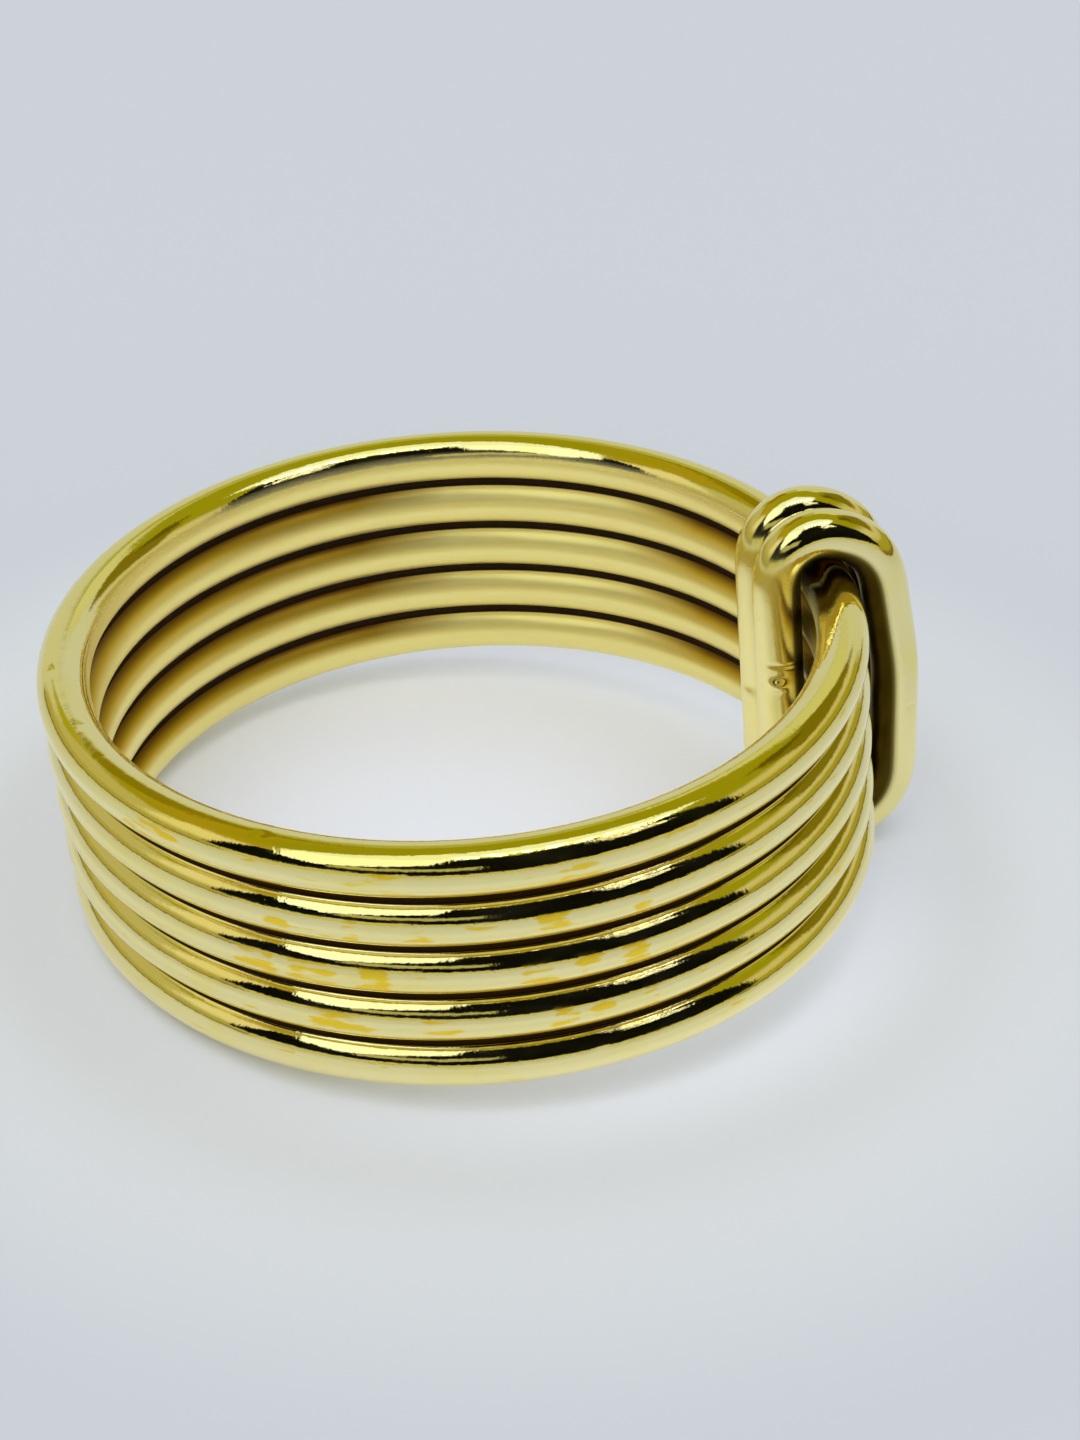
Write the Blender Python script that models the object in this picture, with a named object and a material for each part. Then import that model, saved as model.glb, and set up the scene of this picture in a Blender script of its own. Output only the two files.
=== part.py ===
"""Band ring of five round wires, bound at one side by a wire wrapped twice round the band.

The ring lies on its side, as it rests by itself. The wrap stands lower than the band, so the
band leans: the wrap's bottom turns and the far edge of the lowest wire touch the floor.
World frame: metres, +Z up, the floor at z = 0, the wrap towards +X.
"""
import math

import bpy
from mathutils import Matrix, Vector

# Driving dimensions, in millimetres
MM = 0.001
BAND_RADIUS = 9.18          # ring axis to the centre of the middle wire
WIRE_COUNT = 5
WIRE_RADIUS = 0.615
WIRE_PITCH = 1.30           # centre to centre, along the ring's axis
WIRE_STEP = 0.051           # each wire sits this much further towards the wrap than the one above
WEB_HALF = 0.25             # half the thickness of metal left at a groove
STRAND_COUNT = 2
STRAND_RADIUS = 0.585
STRAND_PITCH = 1.18
SEAT_GAP = 0.15             # clear space between the band and the wrap's bottom turns
WRAP_LEAN = math.radians(3.4)    # the loose wrap leans along the band, its top away from -Y
WRAP_YAW = math.radians(2.8)     # and is turned a little about the vertical

# Facets of the solids
WIRE_SIDES = 12
BAND_SEGMENTS = 64
BEND_SEGMENT_ANGLE = math.radians(18)

# The wrap's centre line in the upright plane through the ring's axis: corners of its loop as
# radial distance, height above the floor and bend radius, in millimetres
WRAP_CORNERS = (
    ("bottom_inner", 8.06, STRAND_RADIUS, 1.10),
    ("bottom_outer", 10.87, STRAND_RADIUS, 1.45),
    ("outer_bow", 10.70, 4.90, 6.00),
    ("top_outer", 10.00, 8.25, 1.65),
    ("top_inner", 7.33, 8.97, 1.03),
)
WRAP_MIDDLE = (9.25, 4.5)   # radial distance and height about which the wrap leans and turns

GOLD = (0.83, 0.68, 0.27, 1.0)
GOLD_ROUGHNESS = 0.12


def facet_radius(radius, sides):
    """Corner radius of the polygon with the same area as a circle of this radius."""
    step = 2 * math.pi / sides
    return radius * math.sqrt(step / math.sin(step))


def lobed_profile(count, pitch, radius, web_half):
    """Outline of wires side by side: points as (across the row, along the row).

    Each wire is a lobe of a regular polygon with a flat at its foot, and neighbours join
    at a groove that leaves a web of metal between them.
    """
    corner = facet_radius(radius, WIRE_SIDES)
    step = 2 * math.pi / WIRE_SIDES
    groove = math.pi / 2 - math.asin(web_half / corner)
    angles = [(k + 0.5) * step for k in range(-WIRE_SIDES // 4, WIRE_SIDES // 4)]
    side = []
    for index in range(count):
        first, last = index == 0, index == count - 1
        centre = (index - (count - 1) / 2) * pitch
        lobe = [a for a in angles if (first or a > -groove) and (last or a < groove)]
        if not first:
            lobe.insert(0, -groove)
        if not last:
            lobe.append(groove)
        side += [(corner * math.cos(a), centre + corner * math.sin(a)) for a in lobe]
    return side + [(-across, along) for across, along in reversed(side)]


def rounded_loop(corners):
    """Closed path through corners (x, z, bend radius), each corner rounded by an arc.

    Returns points and outward directions across the path.
    """
    path = []
    for index, (x, z, bend) in enumerate(corners):
        here = Vector((x, z))
        before = (Vector(corners[index - 1][:2]) - here).normalized()
        after = (Vector(corners[(index + 1) % len(corners)][:2]) - here).normalized()
        half = before.angle(after) / 2
        centre = here + (before + after).normalized() * (bend / math.sin(half))
        start = Vector((-before.y, before.x))
        turn = math.pi - 2 * half
        count = max(1, round(turn / BEND_SEGMENT_ANGLE))
        for k in range(count + 1):
            angle = turn * k / count
            out = Vector((start.x * math.cos(angle) - start.y * math.sin(angle),
                          start.x * math.sin(angle) + start.y * math.cos(angle)))
            path.append((centre + out * bend, out))
    return path


def sweep(name, profile, stations):
    """Closed tube: the profile placed at each station (centre, across, along)."""
    verts = [centre + across * u + along * v
             for centre, across, along in stations for u, v in profile]
    size = len(profile)
    faces = []
    for s in range(len(stations)):
        here, there = s * size, (s + 1) % len(stations) * size
        for k in range(size):
            j = (k + 1) % size
            faces.append((here + k, there + k, there + j, here + j))
    mesh = bpy.data.meshes.new(name)
    mesh.from_pydata(verts, [], faces)
    mesh.update()
    return mesh


def band_mesh():
    """The five wires, round the ring's own axis, leaning as they step towards the wrap."""
    profile = lobed_profile(WIRE_COUNT, WIRE_PITCH, WIRE_RADIUS, WEB_HALF)
    along = Vector((-WIRE_STEP / WIRE_PITCH, 0, 1))
    stations = []
    for k in range(BAND_SEGMENTS):
        angle = (k + 0.5) * 2 * math.pi / BAND_SEGMENTS
        outward = Vector((math.cos(angle), math.sin(angle), 0))
        stations.append((outward * BAND_RADIUS, outward, along))
    return sweep("wire_band", profile, stations)


def wrap_mesh():
    """The two strands, in the resting frame, standing on the floor."""
    profile = lobed_profile(STRAND_COUNT, STRAND_PITCH, STRAND_RADIUS, WEB_HALF)
    radial, height = WRAP_MIDDLE
    stations = []
    for point, out in rounded_loop([row[1:] for row in WRAP_CORNERS]):
        centre = Vector((point.x - radial, 0, point.y))
        stations.append((centre, Vector((out.x, 0, out.y)), Vector((0, -1, 0))))
    mesh = sweep("wire_wrap", profile, stations)
    for vertex in mesh.vertices:
        vertex.co.y += (vertex.co.z - height) * math.tan(WRAP_LEAN)
    mesh.transform(Matrix.Translation((radial, 0, 0)) @ Matrix.Rotation(WRAP_YAW, 4, "Z"))
    return mesh


def band_rest():
    """The band's lean on the floor: its lowest wire lies on the floor and over the wrap's foot."""
    lift = 2 * STRAND_RADIUS + SEAT_GAP
    return Matrix.Rotation(-math.asin(lift / (2 * BAND_RADIUS)), 4, "Y")


def gold_material(name):
    material = bpy.data.materials.new(name)
    material.use_nodes = True
    shader = material.node_tree.nodes["Principled BSDF"]
    shader.inputs["Base Color"].default_value = GOLD
    shader.inputs["Metallic"].default_value = 1.0
    shader.inputs["Roughness"].default_value = GOLD_ROUGHNESS
    return material


def add_piece(mesh, rest, parent):
    """One named object in metres, leaned as it rests and lowered until it touches the floor."""
    mesh.transform(Matrix.Scale(MM, 4) @ rest)
    mesh.transform(Matrix.Translation((0, 0, -min(vertex.co.z for vertex in mesh.vertices))))
    mesh.materials.append(gold_material(mesh.name + "_gold"))
    mesh.shade_smooth()
    mesh.set_sharp_from_angle(angle=math.radians(50))
    piece = bpy.data.objects.new(mesh.name, mesh)
    bpy.context.collection.objects.link(piece)
    piece.parent = parent
    return piece


def centre_on_box(pieces, parent):
    """Move the parent so that the origin is under the middle of the whole ring's box."""
    points = [vertex.co for piece in pieces for vertex in piece.data.vertices]
    for axis in range(2):
        along = [point[axis] for point in points]
        parent.location[axis] = -(min(along) + max(along)) / 2


def main():
    for old in list(bpy.data.objects):
        bpy.data.objects.remove(old, do_unlink=True)
    ring = bpy.data.objects.new("ring_on_floor", None)
    bpy.context.collection.objects.link(ring)
    pieces = [
        add_piece(band_mesh(), band_rest(), ring),
        add_piece(wrap_mesh(), Matrix.Identity(4), ring),
    ]
    centre_on_box(pieces, ring)
    bpy.context.view_layer.update()


main()
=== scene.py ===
"""Looks of the band ring: five polished gold wires, bound by a wire wrapped twice round them.

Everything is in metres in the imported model's frame: +Z up, the floor at z = 0, the wrap at +X.
Sizes below are in millimetres and become metres through MM.
"""
import math

import bpy
from mathutils import Matrix, Vector, noise


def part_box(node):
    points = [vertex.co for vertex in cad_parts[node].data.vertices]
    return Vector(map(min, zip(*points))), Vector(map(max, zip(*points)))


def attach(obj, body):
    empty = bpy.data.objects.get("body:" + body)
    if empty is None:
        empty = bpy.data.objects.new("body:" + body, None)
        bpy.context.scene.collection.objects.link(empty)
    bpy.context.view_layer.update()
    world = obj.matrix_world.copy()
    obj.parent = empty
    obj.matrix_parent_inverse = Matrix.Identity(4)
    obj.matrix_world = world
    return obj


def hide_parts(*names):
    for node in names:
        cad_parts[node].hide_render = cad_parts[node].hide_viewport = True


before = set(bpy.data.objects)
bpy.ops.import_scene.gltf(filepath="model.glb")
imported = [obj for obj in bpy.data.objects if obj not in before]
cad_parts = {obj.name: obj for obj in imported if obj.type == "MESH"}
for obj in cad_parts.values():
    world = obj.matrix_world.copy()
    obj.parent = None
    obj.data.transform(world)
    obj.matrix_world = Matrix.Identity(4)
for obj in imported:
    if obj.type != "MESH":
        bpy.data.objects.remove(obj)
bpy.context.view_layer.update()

MM = 0.001

# The band, as the solids have it
BAND_RADIUS = 9.18          # ring axis to the centre of the middle wire
WIRE_COUNT = 5
WIRE_RADIUS = 0.615
WIRE_PITCH = 1.30
WIRE_STEP = 0.051           # each wire sits this much further towards the wrap than the one above
WEB_HALF = 0.25             # half the thickness of metal left at a groove

# The wrap, as the solids have it
STRAND_COUNT = 2
STRAND_RADIUS = 0.585
STRAND_PITCH = 1.18
SEAT_GAP = 0.15
WRAP_LEAN = math.radians(3.4)
WRAP_YAW = math.radians(2.8)
WRAP_CORNERS = (            # name, radial distance, height above the floor, bend radius
    ("bottom_inner", 8.06, STRAND_RADIUS, 1.10),
    ("bottom_outer", 10.87, STRAND_RADIUS, 1.45),
    ("outer_bow", 10.70, 4.90, 6.00),
    ("top_outer", 10.00, 8.25, 1.65),
    ("top_inner", 7.33, 8.97, 1.03),
)
WRAP_MIDDLE = (9.25, 4.5)

# Smoothness of the meshes
LOBE_STEPS = 21             # faces round the outward half of one wire
BAND_STATIONS = 420
WRAP_STATIONS = 360
ARC_STEP = math.radians(4)
PATH_SMOOTHING = 56         # rounds of averaging along the wrap's path

# Small unevenness of handmade wire
WAVER = 0.006               # how far a wire wanders from its true radius
WAVER_LENGTH = 2.6
WAVER_APART = 7.3           # sets the wires apart in the noise, so that each wanders its own way

# Where the looks change round a wire: sines of the angle up from its middle
SATIN_END = 0.62            # the last wire has no satin from here up
SATIN_FADE = 0.40
# Painted shade on the upper inner side of each wire, under the wire above
SHADE_START = 0.20
SHADE_AND_CREST_FADE = 0.40
LAST_SHADE = 0.5            # the last wire's share of painted shade
DULL_SHADE_START = 0.20           # cosine, on the wrap's inner side, where satin and painted shade start
DULL_SHADE_FADE = 0.20
FREE_SIDE = 3.0             # stands for the gap to a groove that isn't there

# Where the looks change along the band, as bearings in degrees from +X towards +Y
UNSHADED_MIDDLE = 64.0         # the middle of the inner side's part left without painted shade
UNSHADED_HALF = 15.0
UNSHADED_FADE = 16.0
SMUDGES = (                 # wire from the top, bearing, half the length in degrees, strength
    (1, 215.0, 7.0, 0.8), (1, 247.5, 5.0, 0.7), (1, 273.5, 3.5, 0.8),
    (2, 234.0, 2.2, 0.9), (2, 244.0, 1.6, 1.0), (2, 252.0, 3.0, 0.6), (2, 269.5, 3.0, 1.0),
    (2, 281.5, 1.5, 0.9), (3, 230.0, 4.0, 1.0), (3, 237.5, 4.5, 1.1), (3, 246.0, 2.6, 1.1),
    (3, 267.0, 3.2, 1.0), (3, 274.0, 2.5, 1.1), (3, 280.0, 2.4, 1.1), (4, 240.5, 6.0, 0.9),
    (4, 254.0, 3.2, 0.7), (4, 270.0, 2.4, 0.9), (4, 275.0, 2.2, 0.9), (4, 281.5, 1.8, 0.8),
)

# The wrap is rubbed dull where it faces the finger
WORN = 0.45                 # how dull
WORN_START = 0.70           # how squarely it faces the finger where the rubbing starts
WORN_FADE = 0.25

MARKS = (                   # name, piece, place, reach each way, depth (a lump's is negative)
    ("nick_on_top_wire", "band", (-6.753, -7.334, 6.63), (0.16, 0.13, 0.30), 0.05),
    ("dent_on_top_wire", "band", (-10.377, 0.668, 6.345), (0.16, 0.30, 0.30), 0.03),
    ("second_nick", "band", (-9.933, -1.913, 6.411), (0.15, 0.15, 0.30), 0.03),
    ("nick_on_lowest_wire", "band", (0.313, -9.751, 1.449), (0.14, 0.30, 0.14), 0.03),
    ("solder_lump", "wrap", (6.807, -1.184, 4.923), (0.30, 0.35, 0.24), -0.13),
    ("solder_seam", "wrap", (6.945, -1.195, 5.449), (0.75, 0.45, 0.06), 0.06),
    ("second_solder_lump", "wrap", (6.527, 0.237, 3.837), (0.30, 0.45, 0.35), -0.06),
    ("pit", "wrap", (10.366, -1.064, 3.859), (0.12, 0.20, 0.12), 0.03),
)

# The camera, from the photograph
CAMERA_PLACE = Vector((-14.7, -61.2, 43.9))
CAMERA_HEADING = math.radians(75.427)   # from +X towards +Y
CAMERA_DOWN = math.radians(32.294)
CAMERA_ROLL = math.radians(1.561)
CAMERA_LENS = 77.234
CAMERA_SENSOR = 36.0
CAMERA_CLIP = 0.001         # metres

FLOOR_HALF = 900.0


def fade(value, start, width):
    """0 up to start, 1 from start plus width, and even between."""
    return min(1.0, max(0.0, (value - start) / width))


def lobed_profile(count, pitch, radius, web_half, steps, dull_shaded_inside=False):
    """Outline of wires side by side: round lobes that meet in deep grooves.

    Each point is (across, along, gap, crown, satin, shade, crest). Gap is the way along the
    surface to the nearest groove. Crown is 1 on the outermost line of a wire. Satin is 1 on its
    inner side, apart from the free upper side of the last wire. Shade, a painted shade, is 1 on
    the upper part of the inner side, under the wire above, and half that on the last wire.
    Crest is 1 on the outward top of the last wire. With a dull, shaded inside, satin and
    painted shade are 1 on the whole inner side, without a crest.
    """
    groove = math.pi / 2 - math.asin(web_half / radius)
    side = []
    for index in range(count):
        first, last = index == 0, index == count - 1
        low = -math.pi / 2 if first else -groove
        high = math.pi / 2 if last else groove
        centre = (index - (count - 1) / 2) * pitch
        for k in range(steps + 1):
            angle = low + (high - low) * k / steps
            below = FREE_SIDE if first else groove + angle
            above = FREE_SIDE if last else groove - angle
            gap = radius * min(below, above)
            satin = min(1.0, 2 * math.cos(angle))
            if last:
                satin *= fade(-math.sin(angle), -SATIN_END, SATIN_FADE)
            # painted shade on the upper part of the inner side, under the wire above
            inner_shade = fade(math.sin(angle), SHADE_START, SHADE_AND_CREST_FADE) * satin
            if last:
                inner_shade *= LAST_SHADE
            crest = fade(math.sin(angle), 0.0, SHADE_AND_CREST_FADE) if last else 0.0
            side.append((radius * math.cos(angle), centre + radius * math.sin(angle), gap,
                         math.cos(angle), satin, inner_shade, crest))
    outer, inner = [], []
    for across, along, gap, crown, _, _, crest in side:
        outer.append((across, along, gap, crown, 0.0, 0.0, 0.0 if dull_shaded_inside else crest))
    for across, along, gap, crown, satin, inner_shade, _ in reversed(side[1:-1]):
        if dull_shaded_inside:
            # the wrap's inner side, facing the band, takes satin and painted shade
            satin = inner_shade = fade(crown, DULL_SHADE_START, DULL_SHADE_FADE)
        inner.append((-across, along, gap, 0.0, satin, inner_shade, 0.0))
    return outer + inner


def sweep(name, profile, stations):
    """Closed tube of the profile along the stations, with a UV map in millimetres."""
    verts = [centre + across * point[0] + along * point[1]
             for centre, across, along in stations for point in profile]
    size = len(profile)
    faces = []
    for s in range(len(stations)):
        here, there = s * size, (s + 1) % len(stations) * size
        for k in range(size):
            j = (k + 1) % size
            faces.append((here + k, there + k, there + j, here + j))
    mesh = bpy.data.meshes.new(name)
    mesh.from_pydata(verts, [], faces)
    for place, label in enumerate(("groove_gap", "crown", "satin", "inner_shade", "crest"), 2):
        layer = mesh.attributes.new(label, "FLOAT", "POINT")
        layer.data.foreach_set("value", [point[place] for _ in stations for point in profile])
    around = [0.0]
    for k in range(size):
        a, b = Vector(profile[k][:2]), Vector(profile[(k + 1) % size][:2])
        around.append(around[-1] + (b - a).length)
    travel = [0.0]
    for s in range(len(stations)):
        travel.append(travel[-1] + (stations[(s + 1) % len(stations)][0] - stations[s][0]).length)
    layer = mesh.uv_layers.new(name="along_wire")
    loop = 0
    for s in range(len(stations)):
        for k in range(size):
            corners = ((s, k), (s + 1, k), (s + 1, k + 1), (s, k + 1))
            for row, column in corners:
                layer.data[loop].uv = (travel[row], around[column])
                loop += 1
    mesh.update()
    return mesh


def place_smudges(mesh, size):
    """Attribute smudge: the strength in the middle half of each smudge, fading to its ends."""
    smudge = mesh.attributes.new("smudge", "FLOAT", "POINT").data
    lobe = LOBE_STEPS + 1
    for station in range(BAND_STATIONS):
        bearing = (station + 0.5) * 360 / BAND_STATIONS
        for wire, middle, half, strength in SMUDGES:
            near = 1 - abs(bearing - middle) / half
            if near > 0:
                start = station * size + (WIRE_COUNT - wire) * lobe
                for index in range(start, start + lobe):
                    level = strength * min(1.0, 2 * near)
                    smudge[index].value = max(smudge[index].value, level)


def band_mesh():
    """The five wires round the ring's own axis, each wandering a little from true."""
    profile = lobed_profile(WIRE_COUNT, WIRE_PITCH, WIRE_RADIUS, WEB_HALF, LOBE_STEPS)
    along = Vector((-WIRE_STEP / WIRE_PITCH, 0, 1))
    stations = []
    for k in range(BAND_STATIONS):
        angle = (k + 0.5) * 2 * math.pi / BAND_STATIONS
        outward = Vector((math.cos(angle), math.sin(angle), 0))
        stations.append((outward * BAND_RADIUS, outward, along))
    mesh = sweep("band_wires", profile, stations)
    # the painted shade is left off the middle part of the band's inner side
    for index, item in enumerate(mesh.attributes["inner_shade"].data):
        bearing = (index // len(profile) + 0.5) * 360 / BAND_STATIONS
        off = abs((bearing - UNSHADED_MIDDLE + 180) % 360 - 180)
        item.value *= fade(off, UNSHADED_HALF, UNSHADED_FADE)
    place_smudges(mesh, len(profile))
    for vertex in mesh.vertices:
        wire = round(vertex.co.z / WIRE_PITCH)
        outward = Vector((vertex.co.x, vertex.co.y, 0)).normalized()
        place = outward * (BAND_RADIUS / WAVER_LENGTH) + Vector((0, 0, wire * WAVER_APART))
        vertex.co += outward * (WAVER * noise.noise(place))
    return mesh


def rounded_loop(corners, step):
    """Closed path through corners (x, z, bend radius), each corner rounded by an arc."""
    path = []
    for index, (x, z, bend) in enumerate(corners):
        here = Vector((x, z))
        before = (Vector(corners[index - 1][:2]) - here).normalized()
        after = (Vector(corners[(index + 1) % len(corners)][:2]) - here).normalized()
        half = before.angle(after) / 2
        centre = here + (before + after).normalized() * (bend / math.sin(half))
        start = Vector((-before.y, before.x))
        turn = math.pi - 2 * half
        count = max(1, round(turn / step))
        for k in range(count + 1):
            angle = turn * k / count
            out = Vector((start.x * math.cos(angle) - start.y * math.sin(angle),
                          start.x * math.sin(angle) + start.y * math.cos(angle)))
            path.append(centre + out * bend)
    return path


def even_loop(path, count):
    """The closed path again, as this many points at even distances."""
    lengths = [(path[(i + 1) % len(path)] - path[i]).length for i in range(len(path))]
    total = sum(lengths)
    points = []
    index, passed = 0, 0.0
    for k in range(count):
        goal = total * k / count
        while passed + lengths[index] < goal:
            passed += lengths[index]
            index += 1
        t = (goal - passed) / lengths[index]
        points.append(path[index].lerp(path[(index + 1) % len(path)], t))
    return points


def wrap_mesh():
    """The two strands, in the resting frame, standing on the floor."""
    profile = lobed_profile(STRAND_COUNT, STRAND_PITCH, STRAND_RADIUS, WEB_HALF, LOBE_STEPS, True)
    radial, height = WRAP_MIDDLE
    path = even_loop(rounded_loop([row[1:] for row in WRAP_CORNERS], ARC_STEP), WRAP_STATIONS)
    for _ in range(PATH_SMOOTHING):
        path = [(path[i - 1] + path[i] * 2 + path[(i + 1) % len(path)]) / 4 for i in range(len(path))]
    stations = []
    for i, point in enumerate(path):
        ahead = (path[(i + 1) % len(path)] - path[i - 1]).normalized()
        centre = Vector((point.x - radial, 0, point.y))
        stations.append((centre, Vector((ahead.y, 0, -ahead.x)), Vector((0, -1, 0))))
    mesh = sweep("wrap_strands", profile, stations)
    for index, item in enumerate(mesh.attributes["satin"].data):
        facing = -stations[index // len(profile)][1].x
        item.value = max(item.value, WORN * fade(facing, WORN_START, WORN_FADE))
    for vertex in mesh.vertices:
        vertex.co.y += (vertex.co.z - height) * math.tan(WRAP_LEAN)
    mesh.transform(Matrix.Translation((radial, 0, 0)) @ Matrix.Rotation(WRAP_YAW, 4, "Z"))
    return mesh


def settle(mesh, rest, node):
    """Metres, leaned as it rests, and placed on the node's own box: same middle, same floor."""
    mesh.transform(Matrix.Scale(MM, 4) @ rest)
    low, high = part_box(node)
    points = [vertex.co for vertex in mesh.vertices]
    move = Vector((0, 0, low.z - min(point.z for point in points)))
    for axis in range(2):
        along = [point[axis] for point in points]
        move[axis] = (low[axis] + high[axis]) / 2 - (min(along) + max(along)) / 2
    mesh.transform(Matrix.Translation(move))
    mesh.shade_smooth()
    piece = bpy.data.objects.new(mesh.name, mesh)
    bpy.context.scene.collection.objects.link(piece)
    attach(piece, "root")
    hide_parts(node)
    return piece


def press(piece, place, reach, depth):
    """A small dent in the piece's surface, or a lump where the depth is negative."""
    centre = Vector(place) * MM
    moves = []
    for vertex in piece.data.vertices:
        off = vertex.co - centre
        far = sum((off[axis] / (reach[axis] * MM)) ** 2 for axis in range(3))
        if far < 1:
            moves.append((vertex, vertex.normal * (depth * MM * (1 - far) ** 2)))
    for vertex, move in moves:
        vertex.co -= move


class Shader:
    """Short helpers for building one node tree."""

    def __init__(self, tree):
        self.tree = tree

    def node(self, kind, **settings):
        made = self.tree.nodes.new(kind)
        for key, value in settings.items():
            setattr(made, key, value)
        return made

    def feed(self, socket, value):
        if isinstance(value, bpy.types.NodeSocket):
            self.tree.links.new(value, socket)
        else:
            socket.default_value = value

    def math(self, operation, *values, clamp=False):
        made = self.node("ShaderNodeMath", operation=operation, use_clamp=clamp)
        for socket, value in zip(made.inputs, values):
            self.feed(socket, value)
        return made.outputs[0]

    def dot(self, vector, axis):
        made = self.node("ShaderNodeVectorMath", operation="DOT_PRODUCT")
        self.feed(made.inputs[0], vector)
        self.feed(made.inputs[1], axis)
        return made.outputs["Value"]

    def ramp(self, value, low, high, to_low=0.0, to_high=1.0):
        """Smooth step of value from low to high, mapped to to_low..to_high."""
        made = self.node("ShaderNodeMapRange", interpolation_type="SMOOTHSTEP")
        for socket, number in zip(made.inputs, (value, low, high, to_low, to_high)):
            self.feed(socket, number)
        return made.outputs[0]

    def mix(self, factor, first, second):
        made = self.node("ShaderNodeMix", data_type="RGBA")
        self.feed(made.inputs["Factor"], factor)
        self.feed(made.inputs[6], first)
        self.feed(made.inputs[7], second)
        return made.outputs[2]

    def noise(self, vector, scale, detail=2.0, roughness=0.5):
        made = self.node("ShaderNodeTexNoise")
        self.feed(made.inputs["Vector"], vector)
        made.inputs["Scale"].default_value = scale
        made.inputs["Detail"].default_value = detail
        made.inputs["Roughness"].default_value = roughness
        return made.outputs["Fac"]

    def stretch(self, vector, scale):
        made = self.node("ShaderNodeMapping")
        self.feed(made.inputs["Vector"], vector)
        made.inputs["Scale"].default_value = scale
        return made.outputs[0]

    def bump(self, height, strength, distance, normal=None):
        made = self.node("ShaderNodeBump")
        made.inputs["Strength"].default_value = strength
        made.inputs["Distance"].default_value = distance
        self.feed(made.inputs["Height"], height)
        if normal is not None:
            self.feed(made.inputs["Normal"], normal)
        return made.outputs[0]


GOLD = (1.0, 0.895, 0.43, 1.0)
GOLD_FILM = (0.97, 0.82, 0.13, 1.0)
# Painted shade: amber under each groove on the band's inner side, dark brown on the wrap's inner side
# where it faces the band
BAND_PAINTED_SHADE = (0.68, 0.44, 0.012, 1.0)
WRAP_PAINTED_SHADE = (0.085, 0.06, 0.008, 1.0)
GROOVE_SHADE = (0.12, 0.042, 0.001, 1.0)     # painted shade, darker still close to a groove
TARNISH = (1.0, 0.70, 0.03, 1.0)
# grime with painted shade, deep in the grooves
GROOVE_GRIME_AND_SHADE = (0.028, 0.011, 0.001, 1.0)

# Noise on the gold, in repeats per millimetre along and round the wire, and the part of its
# range over which it acts, in some with what that part becomes
FILM_GRAIN = (0.5, 1.1, 1.0)
FILM_RANGE = (0.45, 0.75, 0.0, 0.4)
SMUDGE_GRAIN = (0.9, 5.0, 1.0)
SMUDGE_RANGE = (0.62, 0.72)
RUB_GRAIN = (0.8, 3.0, 1.0)
RUB_RANGE = (0.35, 0.75, 0.03, 0.09)
SPECK_GRAIN = (9.0, 14.0, 1.0)
SPECK_RANGE = (0.70, 0.78, 0.0, 0.20)
HAIR_GRAIN = (1.5, 60.0, 1.0)
HAIR_DEPTH = 0.000002
HAIR_STRENGTH = 0.25
RIPPLE_GRAIN = (2.0, 2.2, 1.0)
RIPPLE_DEPTH = 0.00002
RIPPLE_STRENGTH = 0.35

# How the layers add up
CROWN_RANGE = (0.80, 0.95)  # smudges lie only near the outermost line
PLACED_PUSH = 0.19          # how much a placed smudge raises its noise
GRIME_AND_SHADE_WIDTH = 0.025         # from the groove, in millimetres
GRIME_AND_SHADE_SATIN = -0.04         # the grime and painted shade reach this much further on the satin side
GROOVE_SHADE_WIDTH = 0.45
SATIN_FILM = 0.40
CREST_FILM = 0.35
SMUDGE_ROUGH = 0.15
GRIME_AND_SHADE_ROUGH = 0.4


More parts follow.
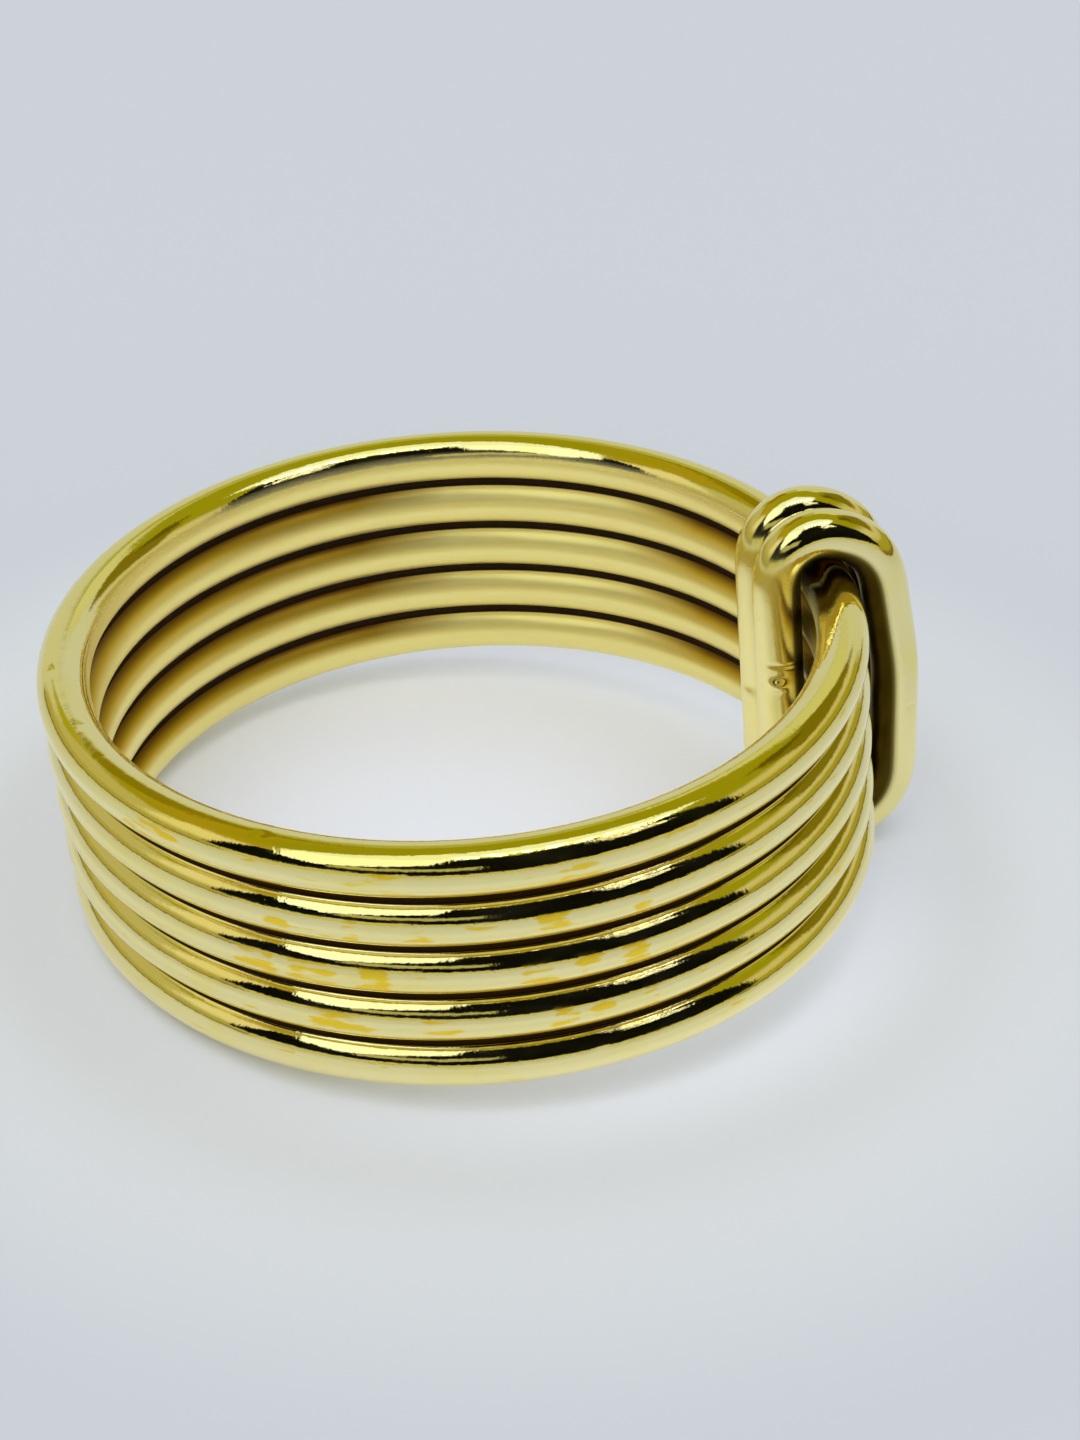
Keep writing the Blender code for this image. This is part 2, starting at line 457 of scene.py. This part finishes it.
def gold_material(name, smudges, shade_colour, satin_rough, dust):
    """Polished yellow gold: grime and painted shade in the grooves, painted shade on the upper inner
    side, warm smudges, rubbed patches, hair scratches.

    Satin_rough is the roughness that full satin adds. Dust is the metal look that it takes away.
    The shade colour argument is the colour of the painted shade on the inner side.
    """
    material = bpy.data.materials.new(name)
    material.use_nodes = True
    s = Shader(material.node_tree)
    shader = material.node_tree.nodes["Principled BSDF"]
    uv = s.node("ShaderNodeUVMap", uv_map="along_wire").outputs[0]
    gap = s.node("ShaderNodeAttribute", attribute_name="groove_gap").outputs["Fac"]
    crown = s.node("ShaderNodeAttribute", attribute_name="crown").outputs["Fac"]
    satin = s.node("ShaderNodeAttribute", attribute_name="satin").outputs["Fac"]
    inner_shade = s.node("ShaderNodeAttribute", attribute_name="inner_shade").outputs["Fac"]
    crest = s.node("ShaderNodeAttribute", attribute_name="crest").outputs["Fac"]
    crown = s.ramp(crown, *CROWN_RANGE)
    film = s.ramp(s.noise(s.stretch(uv, FILM_GRAIN), 1.0, 3.0), *FILM_RANGE)
    ragged = s.noise(s.stretch(uv, SMUDGE_GRAIN), 1.0, 4.0)
    placed = s.node("ShaderNodeAttribute", attribute_name="smudge").outputs["Fac"]
    patch = s.ramp(s.math("MULTIPLY_ADD", placed, PLACED_PUSH, ragged), *SMUDGE_RANGE)
    smudge = s.math("MULTIPLY", s.math("MULTIPLY", patch, crown), smudges)
    # grime and painted shade in the grooves
    grime_and_shade = s.ramp(s.math("MULTIPLY_ADD", satin, GRIME_AND_SHADE_SATIN, gap), 0.0, GRIME_AND_SHADE_WIDTH, 1, 0)
    film = s.math("MAXIMUM", film, s.math("MULTIPLY", satin, SATIN_FILM))
    film = s.math("MAXIMUM", film, s.math("MULTIPLY", crest, CREST_FILM))
    colour = s.mix(film, GOLD, GOLD_FILM)
    # painted shade on the inner side, darker still close to a groove
    groove_shade = s.math("MULTIPLY", s.ramp(gap, 0.0, GROOVE_SHADE_WIDTH, 1, 0), inner_shade)
    colour = s.mix(groove_shade, s.mix(inner_shade, colour, shade_colour), GROOVE_SHADE)
    colour = s.mix(smudge, colour, TARNISH)
    s.feed(shader.inputs["Base Color"], s.mix(grime_and_shade, colour, GROOVE_GRIME_AND_SHADE))
    s.feed(shader.inputs["Metallic"], s.math("MULTIPLY_ADD", satin, -dust, 1.0))
    rub = s.ramp(s.noise(s.stretch(uv, RUB_GRAIN), 1.0, 4.0), *RUB_RANGE)
    speck = s.ramp(s.noise(s.stretch(uv, SPECK_GRAIN), 1.0, 2.0), *SPECK_RANGE)
    rough = s.math("ADD", s.math("MULTIPLY_ADD", satin, satin_rough, rub), speck)
    rough = s.math("MULTIPLY_ADD", smudge, SMUDGE_ROUGH, rough)
    rough = s.math("MULTIPLY_ADD", grime_and_shade, GRIME_AND_SHADE_ROUGH, rough)
    s.feed(shader.inputs["Roughness"], rough)
    hair = s.noise(s.stretch(uv, HAIR_GRAIN), 1.0, 2.0)
    ripple = s.noise(s.stretch(uv, RIPPLE_GRAIN), 1.0, 3.0, 0.6)
    fine = s.bump(hair, HAIR_STRENGTH, HAIR_DEPTH)
    s.feed(shader.inputs["Normal"], s.bump(ripple, RIPPLE_STRENGTH, RIPPLE_DEPTH, fine))
    return material


# Painted light on the floor: a pool of light inside the ring, then the near tone, then a darker far
# floor
FLOOR_LIGHT_POOL = (0.87, 0.90, 0.96, 1.0)
FLOOR_NEAR = (0.67, 0.685, 0.66, 1.0)
FLOOR_FAR = (0.555, 0.575, 0.565, 1.0)
INSIDE_EDGE = (0.0085, 0.0125)      # metres from the middle over which one tone becomes the next
FAR_EDGE = (0.013, 0.021)


def floor_material():
    """Matt pale floor with painted light: a pool of light inside the ring, lightest there and darkest
    far from it.
    """
    material = bpy.data.materials.new("floor_white")
    material.use_nodes = True
    s = Shader(material.node_tree)
    shader = material.node_tree.nodes["Principled BSDF"]
    place = s.node("ShaderNodeTexCoord").outputs["Object"]
    apart = s.node("ShaderNodeVectorMath", operation="LENGTH")
    s.feed(apart.inputs[0], place)
    apart = apart.outputs["Value"]
    tone = s.mix(s.ramp(apart, *INSIDE_EDGE), FLOOR_LIGHT_POOL, FLOOR_NEAR)
    s.feed(shader.inputs["Base Color"], s.mix(s.ramp(apart, *FAR_EDGE), tone, FLOOR_FAR))
    shader.inputs["Roughness"].default_value = 0.3
    shader.inputs["Specular IOR Level"].default_value = 0.1
    return material


def add_floor():
    half = FLOOR_HALF * MM
    mesh = bpy.data.meshes.new("floor")
    mesh.from_pydata([(-half, -half, 0), (half, -half, 0), (half, half, 0), (-half, half, 0)],
                     [], [(0, 1, 2, 3)])
    mesh.materials.append(floor_material())
    floor = bpy.data.objects.new("floor", mesh)
    bpy.context.scene.collection.objects.link(floor)


# The light tent, seen from the ring. Bearings are in degrees from the camera's side, positive
# towards its right, and heights in degrees above the floor. Lamps are drawn as (right, away) on
# a ceiling one unit up, their corners anticlockwise.
BACK_BEARING = (110, 150)   # where the side walls become the back wall
CEILING_HEIGHT = (30, 41)   # where the walls become the ceiling
SIDE_WALL = (0.52, 0.49, 0.24)
BACK_WALL = (0.58, 0.60, 0.54)
CEILING = (0.30, 0.285, 0.004)
BACKDROP = (0.60, 0.64, 0.67)
PLAIN = (0.88, 0.92, 1.06)  # what lights the floor besides the lamps
PATCHES = (                 # name, bearings, heights, softness, colour (None: the dark front's)
    ("left_ceiling", -155, -62, 42, 58, 8.0, (0.38, 0.29, 0.01)),
    ("left_glow", -90, -56, 20, 44, 5.0, (0.74, 0.68, 0.42)),
    ("left_dim", -132, -90, 12, 34, 5.0, (0.48, 0.44, 0.21)),
    ("left_low", -135, -58, 3, 14, 3.0, (0.40, 0.36, 0.10)),
    ("left_foot", -135, -58, -3, 4, 2.0, (0.22, 0.18, 0.04)),
    ("right_band", 70, 136, 21, 31, 4.0, (0.58, 0.52, 0.28)),
    ("right_olive", 104, 146, 25, 47, 3.0, (0.19, 0.155, 0.004)),
    ("back_high", 147, 186, 33, 48, 3.0, (0.60, 0.60, 0.34)),
    ("back_left", -186, -164, 36, 50, 3.0, (0.42, 0.42, 0.09)),
    ("left_olive", -163, -130, 35, 50, 3.0, (0.24, 0.19, 0.002)),
    ("left_amber", -147, -130, 24, 35, 3.0, (0.38, 0.35, 0.015)),
    ("right_low", 70, 136, 3, 16, 3.0, (0.35, 0.31, 0.03)),
    ("right_foot", 70, 140, -3, 4, 2.0, (0.19, 0.15, 0.02)),
    ("right_shade", 110, 130, 43, 53, 2.0, (0.12, 0.09, 0.004)),
    ("dark_front_right", -12, 77, 8, 66, 1.5, None),
    ("dark_front_left", -66, -10, 11, 46, 1.5, None),
    ("front_edge", -34, 5, 24, 34, 1.5, (0.42, 0.40, 0.20)),
)
DARK_FRONT = (0.003, 0.003, 0.002)
DARK_TWICE = (0.32, 0.25, 0.06)     # the dark front after two reflections, between two wires
LAMPS = (                   # name, colour, corners
    ("lamp_far", (0.90, 0.98, 0.88),
     ((0.57, -0.13), (0.56, 0.11), (0.075, 0.177), (-0.615, -0.165), (-0.08, -0.35))),
    ("lamp_near", (1.05, 1.13, 1.08),
     ((-0.615, -0.165), (-1.05, -0.75), (-1.15, -1.45), (-0.18, -0.84), (-0.08, -0.35))),
)
FLOOR_LAMP = (2.2, 2.2, 2.2)
TUBE_LINE = ((-0.08, -0.35), (0.57, -0.13))  # short tubes side by side along the lamp's near edge
TUBE = (3.5, 3.5, 3.5)
TUBE_SPACING = 0.085
TUBE_FILL = 0.22            # half the share of the spacing that a tube takes
TUBE_REACH = (-0.07, 0.14)  # how far a tube reaches beyond the edge, and into the lamp
GLINTS = (44, 66, 48, 65)   # bearings and heights between which the dark front shows specks
GLINT = (3.0, 3.0, 2.7)
GLINT_GRAIN = 80.0
GLINT_RANGE = (0.53, 0.56)
GLINT_SOFT = 2.0
LAMP_SOFT = 0.015
TUBE_SOFT = 0.08            # share of the spacing over which a tube fades sideways
TUBE_END = 0.01             # length over which it fades at its ends
LEAST_UP = 0.02             # keeps the ceiling's far parts from running away


def patch_mask(s, bearing, height, limits, soft):
    """1 inside the bearings and heights, fading over the softness."""
    b0, b1, h0, h1 = limits
    mask = s.ramp(bearing, b0 - soft, b0 + soft)
    mask = s.math("MULTIPLY", mask, s.ramp(bearing, b1 - soft, b1 + soft, 1, 0))
    mask = s.math("MULTIPLY", mask, s.ramp(height, h0 - soft, h0 + soft))
    return s.math("MULTIPLY", mask, s.ramp(height, h1 - soft, h1 + soft, 1, 0))


def edge_frame(s, east, north, start, end):
    """Ways along and to the left of the line from start to end on the ceiling."""
    (x0, y0), (x1, y1) = start, end
    length = math.hypot(x1 - x0, y1 - y0)
    tx, ty = (x1 - x0) / length, (y1 - y0) / length
    along = s.math("MULTIPLY_ADD", north, ty, -(tx * x0 + ty * y0))
    left = s.math("MULTIPLY_ADD", north, tx, ty * x0 - tx * y0)
    return s.math("MULTIPLY_ADD", east, tx, along), s.math("MULTIPLY_ADD", east, -ty, left), length


def polygon_mask(s, east, north, corners):
    """1 inside the convex polygon on the ceiling."""
    mask = 1.0
    for start, end in zip(corners, corners[1:] + corners[:1]):
        _, left, _ = edge_frame(s, east, north, start, end)
        mask = s.math("MULTIPLY", s.ramp(left, -LAMP_SOFT, LAMP_SOFT), mask)
    return mask


def tube_mask(s, east, north, start, end):
    """1 on each of a row of short tubes that cross the line."""
    along, left, length = edge_frame(s, east, north, start, end)
    step = s.math("FRACT", s.math("DIVIDE", along, TUBE_SPACING))
    off = s.math("ABSOLUTE", s.math("SUBTRACT", step, 0.5))
    mask = s.ramp(off, TUBE_FILL - TUBE_SOFT, TUBE_FILL + TUBE_SOFT, 1, 0)
    for value, low, high in ((along, 0.0, length), (left, *TUBE_REACH)):
        mask = s.math("MULTIPLY", mask, s.ramp(value, low, low + TUBE_END))
        mask = s.math("MULTIPLY", mask, s.ramp(value, high - TUBE_END, high, 1, 0))
    return mask


def light_tent():
    """World light: pale walls, a dim warm ceiling with a lamp, and a dark open front.

    Polished metal reflects the tent in full. The floor is lit by plain pale light and the lamps.
    """
    world = bpy.data.worlds.new("light_tent")
    bpy.context.scene.world = world
    world.use_nodes = True
    s = Shader(world.node_tree)
    background = world.node_tree.nodes["Background"]
    ray = s.node("ShaderNodeTexCoord").outputs["Generated"]
    away = Vector((math.cos(CAMERA_HEADING), math.sin(CAMERA_HEADING), 0))
    right = Vector((away.y, -away.x, 0))
    r, a, up = s.dot(ray, right), s.dot(ray, away), s.dot(ray, Vector((0, 0, 1)))
    degrees = 180 / math.pi
    bearing = s.math("MULTIPLY", s.math("ARCTAN2", r, s.math("MULTIPLY", a, -1.0)), degrees)
    height = s.math("MULTIPLY", s.math("ARCSINE", up), degrees)
    behind = s.ramp(s.math("ABSOLUTE", bearing), *BACK_BEARING)
    wall = s.mix(behind, SIDE_WALL + (1,), BACK_WALL + (1,))
    tent = s.mix(s.ramp(height, *CEILING_HEIGHT), wall, CEILING + (1,))
    path = s.node("ShaderNodeLightPath")
    twice = s.math("GREATER_THAN", path.outputs["Glossy Depth"], 1.5)
    dark = s.mix(twice, DARK_FRONT + (1,), DARK_TWICE + (1,))
    for _, b0, b1, h0, h1, soft, tone in PATCHES:
        mask = patch_mask(s, bearing, height, (b0, b1, h0, h1), soft)
        tent = s.mix(mask, tent, tone + (1,) if tone else dark)
    specks = s.ramp(s.noise(ray, GLINT_GRAIN, 2.0), *GLINT_RANGE)
    specks = s.math("MULTIPLY", specks, patch_mask(s, bearing, height, GLINTS, GLINT_SOFT))
    tent = s.mix(specks, tent, GLINT + (1,))
    above = s.math("MAXIMUM", up, LEAST_UP)
    east, north = s.math("DIVIDE", r, above), s.math("DIVIDE", a, above)
    plain = PLAIN + (1,)
    for _, tone, corners in LAMPS:
        mask = polygon_mask(s, east, north, corners)
        tent = s.mix(mask, tent, tone + (1,))
        plain = s.mix(mask, plain, FLOOR_LAMP + (1,))
    tent = s.mix(tube_mask(s, east, north, *TUBE_LINE), tent, TUBE + (1,))
    light = s.mix(path.outputs["Is Glossy Ray"], plain, tent)
    s.feed(background.inputs["Color"], s.mix(path.outputs["Is Camera Ray"], light, BACKDROP + (1,)))


def add_camera():
    data = bpy.data.cameras.new("camera")
    data.lens = CAMERA_LENS
    data.sensor_width = CAMERA_SENSOR
    data.clip_start = CAMERA_CLIP
    camera = bpy.data.objects.new("camera", data)
    turn = Matrix.Rotation(CAMERA_HEADING - math.pi / 2, 4, "Z")
    tilt = Matrix.Rotation(math.pi / 2 - CAMERA_DOWN, 4, "X")
    roll = Matrix.Rotation(CAMERA_ROLL, 4, "Z")
    camera.matrix_world = Matrix.Translation(CAMERA_PLACE * MM) @ turn @ tilt @ roll
    bpy.context.scene.collection.objects.link(camera)
    bpy.context.scene.camera = camera


def main():
    lean = -math.asin((2 * STRAND_RADIUS + SEAT_GAP) / (2 * BAND_RADIUS))
    band = settle(band_mesh(), Matrix.Rotation(lean, 4, "Y"), "wire_band")
    band_gold = gold_material("band_gold", smudges=0.95, shade_colour=BAND_PAINTED_SHADE, satin_rough=0.28,
                              dust=0.4)
    band.data.materials.append(band_gold)
    wrap = settle(wrap_mesh(), Matrix.Identity(4), "wire_wrap")
    wrap_gold = gold_material("wrap_gold", smudges=0.25, shade_colour=WRAP_PAINTED_SHADE, satin_rough=0.34,
                              dust=0.0)
    wrap.data.materials.append(wrap_gold)
    for _, piece, place, reach, depth in MARKS:
        press({"band": band, "wrap": wrap}[piece], place, reach, depth)
    add_floor()
    light_tent()
    add_camera()
    bpy.context.scene.view_settings.view_transform = "Standard"


main()
